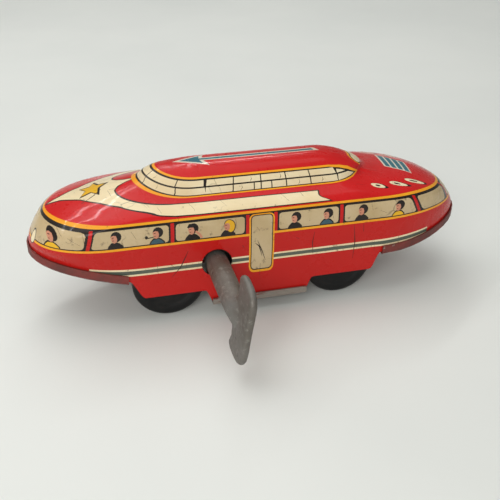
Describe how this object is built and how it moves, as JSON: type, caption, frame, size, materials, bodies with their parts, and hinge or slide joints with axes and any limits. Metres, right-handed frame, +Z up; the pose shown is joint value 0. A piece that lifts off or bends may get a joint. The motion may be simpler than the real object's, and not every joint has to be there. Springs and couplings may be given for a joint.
{
  "type": "clockwork tin space bus",
  "caption": "Wind-up tin space bus: streamlined red pressed-tin body on a dark tray, black wheels, internal clockwork motor and a cast key in the side.",
  "frame": {"origin": "on the ground plane under the middle of the toy, between its wheels", "axes": "+X towards the tail, -Y towards the keyed side, +Z up"},
  "size_m": [0.1512, 0.0813, 0.0474],
  "materials": {
    "red_lithographed_tin": "printed tin, glossy lacquer, crazed",
    "dark_red_tin": "dull dark red enamel, worn to bare metal at the edges",
    "steel": "plain drawn steel",
    "spring_steel": "blued spring steel",
    "zinc_plate": "zinc-plated sheet",
    "brass": "plain brass",
    "black_enamel": "smooth black moulding",
    "cast_grey_metal": "dull grey casting with brown patina"
  },
  "bodies": {
    "frame": {"body_shell": "red_lithographed_tin", "base_plate": "dark_red_tin", "motor_plate_left": "zinc_plate", "motor_plate_right": "zinc_plate", "pillar_1": "brass", "pillar_2": "brass", "pillar_3": "brass", "pillar_4": "brass", "mainspring": "spring_steel", "rear_bracket_left": "zinc_plate", "rear_bracket_right": "zinc_plate"},
    "front_wheels": {"front_axle": "steel", "wheel_front_left": "black_enamel", "wheel_front_right": "black_enamel", "axle_pinion": "steel"},
    "rear_wheels": {"rear_axle": "steel", "wheel_rear_left": "black_enamel", "wheel_rear_right": "black_enamel", "rear_collar_left": "brass", "rear_collar_right": "brass"},
    "middle_set": {"middle_arbor": "steel", "middle_pinion": "steel", "middle_gear": "brass"},
    "great_set": {"great_wheel": "brass", "click_pin": "brass", "click_spring": "spring_steel"},
    "winding_set": {"winding_arbor": "steel", "ratchet_wheel": "steel", "key": "cast_grey_metal"},
    "click": {"click": "steel"}
  },
  "joints": [
    {"name": "front_axle_turn", "type": "hinge", "parent": "frame", "child": "front_wheels", "pos_m": [-0.0337, 0, 0.012], "axis": [0, 1, 0], "continuous": true},
    {"name": "rear_axle_turn", "type": "hinge", "parent": "frame", "child": "rear_wheels", "pos_m": [0.0251, 0, 0.012], "axis": [0, 1, 0], "continuous": true},
    {"name": "middle_arbor_turn", "type": "hinge", "parent": "frame", "child": "middle_set", "pos_m": [-0.03253, 0, 0.02286], "axis": [0, 1, 0], "continuous": true},
    {"name": "great_wheel_turn", "type": "hinge", "parent": "frame", "child": "great_set", "pos_m": [-0.0184, 0, 0.0195], "axis": [0, 1, 0], "continuous": true},
    {"name": "winding_turn", "type": "hinge", "parent": "great_set", "child": "winding_set", "pos_m": [-0.0184, 0, 0.0195], "axis": [0, 1, 0], "continuous": true},
    {"name": "click_lift", "type": "hinge", "parent": "great_set", "child": "click", "pos_m": [-0.01425, 0, 0.02669], "axis": [0, 1, 0], "range_deg": [0, 12], "stiffness_Nm_per_rad": 0.0004}
  ],
  "couplings": [
    {"joint": "middle_arbor_turn", "follows": "front_axle_turn", "ratio": -0.5},
    {"joint": "great_wheel_turn", "follows": "front_axle_turn", "ratio": 0.16667}
  ]
}
